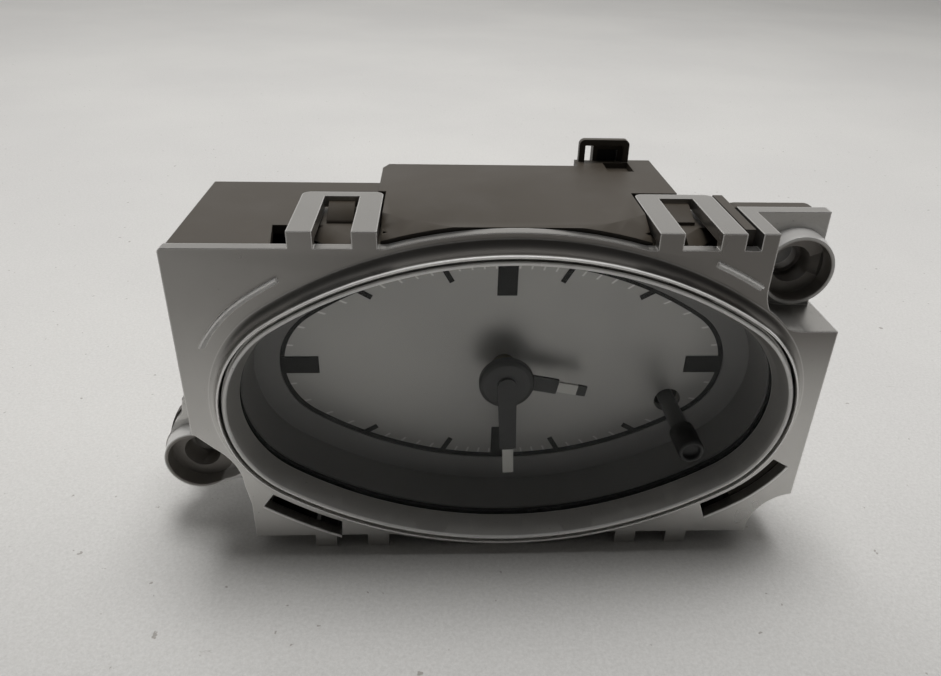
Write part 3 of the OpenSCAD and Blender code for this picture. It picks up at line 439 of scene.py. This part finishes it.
def in_order(shape):
    """Sorts the shape by place, so that every run gives the same mesh."""
    def places(item):
        corners = [item] if isinstance(item, bmesh.types.BMVert) else item.verts
        return sorted(tuple(round(c / MM, 4) for c in corner.co) for corner in corners)

    for group in (shape.verts, shape.edges, shape.faces):
        for index, item in enumerate(sorted(group, key=places)):
            item.index = index
        group.sort()
        group.index_update()


def joined(shape, patches):
    """The shape grown together with the patches."""
    scene = bpy.context.scene.collection.objects
    things = []
    for part in (shape, *patches):
        mesh = bpy.data.meshes.new("work")
        part.to_mesh(mesh)
        part.free()
        things.append(bpy.data.objects.new("work", mesh))
        scene.link(things[-1])
    for patch in things[1:]:
        union = things[0].modifiers.new("union", "BOOLEAN")
        union.operation = "UNION"
        union.solver = "EXACT"
        union.object = patch
    whole = bmesh.new()
    whole.from_object(things[0], bpy.context.evaluated_depsgraph_get())
    for thing in things:
        mesh = thing.data
        bpy.data.objects.remove(thing)
        bpy.data.meshes.remove(mesh)
    bmesh.ops.remove_doubles(whole, verts=whole.verts, dist=MERGE * MM)
    in_order(whole)
    return whole


def whole_copy(node, body, name, patches=()):
    """A merged copy of a CAD node, standing where the node stands."""
    mesh = bpy.data.meshes.new(name)
    shape = bmesh.new()
    shape.from_mesh(frame["nodes"][node].data)
    bmesh.ops.remove_doubles(shape, verts=shape.verts, dist=MERGE * MM)
    if patches:
        shape = joined(shape, patches)
    bmesh.ops.dissolve_limit(shape, angle_limit=math.radians(FLAT_ANGLE), verts=shape.verts,
                             edges=shape.edges, use_dissolve_boundaries=False)
    in_order(shape)
    shape.to_mesh(mesh)
    shape.free()
    mesh.shade_smooth()
    mesh.set_sharp_from_angle(angle=math.radians(SHARP_ANGLE))
    for material in frame["nodes"][node].data.materials:
        mesh.materials.append(material)
    piece = bpy.data.objects.new(name, mesh)
    bpy.context.scene.collection.objects.link(piece)
    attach(piece, body)
    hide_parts(node)


whole_copy("front_carrier", "case", "carrier")
whole_copy("bezel_ring", "case", "bezel")


def case_patches():
    """Three stretches of the case's wall that the CAD case lacks beside its snap loops."""
    roof, wall = 32.95, 1.8
    front, back = 2.5, 11.72
    upper_left = [(-54.6, front), (-43.6, front), (-44.9, back), (-54.6, back)]
    patches = [slab_shape(upper_left, roof - wall, roof)]
    for left, right in ((-51.0, -40.7), (40.7, 54.6)):
        lower = [(left, front), (right, front), (right, back), (left, back)]
        patches.append(slab_shape(lower, -roof, wall - roof))
    return patches


whole_copy("rear_case", "case", "case_shell", case_patches())


def hollow_button():
    """The setting button: a turned knob with a rounded rim and a hollow front."""
    low, high = (Vector(corner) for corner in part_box("setting_button"))
    middle = (low + high) / 2
    reach = (high.x - low.x) / 2
    front, back = low.y, high.y
    rim = 0.55 * MM
    well, depth = reach - 0.85 * MM, 1.1 * MM
    fillet, lead = 0.25 * MM, 0.3 * MM
    turns = [math.radians(a) for a in range(0, 91, 18)]
    profile = [(0, front + depth), (well - fillet, front + depth),
               (well, front + depth - fillet), (well, front + fillet),
               (well + 0.15 * MM, front + 0.05 * MM)]
    profile += [(reach - rim + rim * math.sin(a), front + rim - rim * math.cos(a))
                for a in turns]
    profile += [(reach, back - lead), (reach - lead, back), (0, back)]
    shape = bmesh.new()
    line = [shape.verts.new((middle.x + r, y, middle.z)) for r, y in profile]
    edges = [shape.edges.new(pair) for pair in zip(line, line[1:])]
    bmesh.ops.spin(shape, geom=line + edges, cent=middle, axis=(0, 1, 0), dvec=(0, 0, 0),
                   angle=math.tau, steps=48, use_merge=True)
    bmesh.ops.remove_doubles(shape, verts=shape.verts, dist=0.001 * MM)
    bmesh.ops.recalc_face_normals(shape, faces=shape.faces)
    in_order(shape)
    mesh = bpy.data.meshes.new("button_knob")
    shape.to_mesh(mesh)
    shape.free()
    mesh.shade_smooth()
    mesh.set_sharp_from_angle(angle=math.radians(50))
    mesh.materials.append(frame["nodes"]["setting_button"].data.materials[0])
    piece = bpy.data.objects.new("button_knob", mesh)
    bpy.context.scene.collection.objects.link(piece)
    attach(piece, "button")
    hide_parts("setting_button")


hollow_button()


def table_top(left, right, front, back):
    """The board that the clock stands on, with its sides in metres."""
    mesh = bpy.data.meshes.new("floor")
    shape = bmesh.new()
    corners = ((left, front), (right, front), (right, back), (left, back))
    shape.faces.new([shape.verts.new((x, y, TABLE)) for x, y in corners])
    shape.to_mesh(mesh)
    shape.free()
    mesh.materials.append(floor_finish().material)
    board = bpy.data.objects.new("floor", mesh)
    bpy.context.scene.collection.objects.link(board)
    return board


floor = table_top(-3, 3, -1.5, 4)


def lamp(name, place, aim, size, power):
    """A soft panel that lights the pieces and leaves no mirror image of itself."""
    light = bpy.data.lights.new(name, "AREA")
    light.shape = "RECTANGLE"
    light.size, light.size_y = size
    light.energy = power
    thing = bpy.data.objects.new(name, light)
    thing.location = place
    way = Vector(aim) - Vector(place)
    thing.rotation_euler = way.to_track_quat("-Z", "Y").to_euler()
    thing.visible_glossy = False
    bpy.context.scene.collection.objects.link(thing)


lamp("ceiling_panel", (0.04, 0.2, 1.15), (0, 0.1, 0), (0.6, 0.45), 13)
lamp("back_window", (-0.5, 1.6, 1.2), (0, 0.8, 0), (0.9, 0.5), 6)


def pale_room(color, dark_front, light_back):
    """The room's light, darker in front of the clock than behind it."""
    world = bpy.data.worlds.new("pale_room")
    world.use_nodes = True
    tree = world.node_tree
    direction = tree.nodes.new("ShaderNodeTexCoord")
    parts = tree.nodes.new("ShaderNodeSeparateXYZ")
    tree.links.new(direction.outputs["Generated"], parts.inputs[0])
    depth = tree.nodes.new("ShaderNodeMapRange")
    depth.interpolation_type = "SMOOTHSTEP"
    depth.inputs["From Min"].default_value = -0.5
    depth.inputs["From Max"].default_value = 0.85
    depth.inputs["To Min"].default_value = dark_front
    depth.inputs["To Max"].default_value = light_back
    tree.links.new(parts.outputs[1], depth.inputs["Value"])
    tree.nodes["Background"].inputs["Color"].default_value = (*color, 1)
    tree.links.new(depth.outputs[0], tree.nodes["Background"].inputs["Strength"])
    bpy.context.scene.world = world


pale_room((0.8, 0.79, 0.77), 0.05, 0.82)


def photo_camera(place, pitch, yaw, roll, focal_pixels, photo_width):
    """The camera solved on the photo: its place in millimetres and its turns in degrees."""
    pitch, yaw, roll = (math.radians(a) for a in (pitch, yaw, roll))
    forward = Vector((math.sin(yaw) * math.cos(pitch), math.cos(yaw) * math.cos(pitch),
                      -math.sin(pitch)))
    level = Vector((math.cos(yaw), -math.sin(yaw), 0))
    upward = Vector((math.sin(yaw) * math.sin(pitch), math.cos(yaw) * math.sin(pitch),
                     math.cos(pitch)))
    right = level * math.cos(roll) - upward * math.sin(roll)
    top = level * math.sin(roll) + upward * math.cos(roll)
    lens = bpy.data.cameras.new("camera")
    lens.sensor_width = 36
    lens.lens = focal_pixels / photo_width * lens.sensor_width
    lens.clip_start = 0.01
    camera = bpy.data.objects.new("camera", lens)
    turn = Matrix([(right[i], top[i], -forward[i]) for i in range(3)]).to_4x4()
    camera.matrix_world = Matrix.Translation(Vector(place) * MM) @ turn
    bpy.context.scene.collection.objects.link(camera)
    bpy.context.scene.camera = camera


photo_camera((-14.71, -123.95, 84.87), 29.2306, 3.0422, -1.4708, 765.51, 941)

bpy.context.scene.view_settings.view_transform = "Standard"
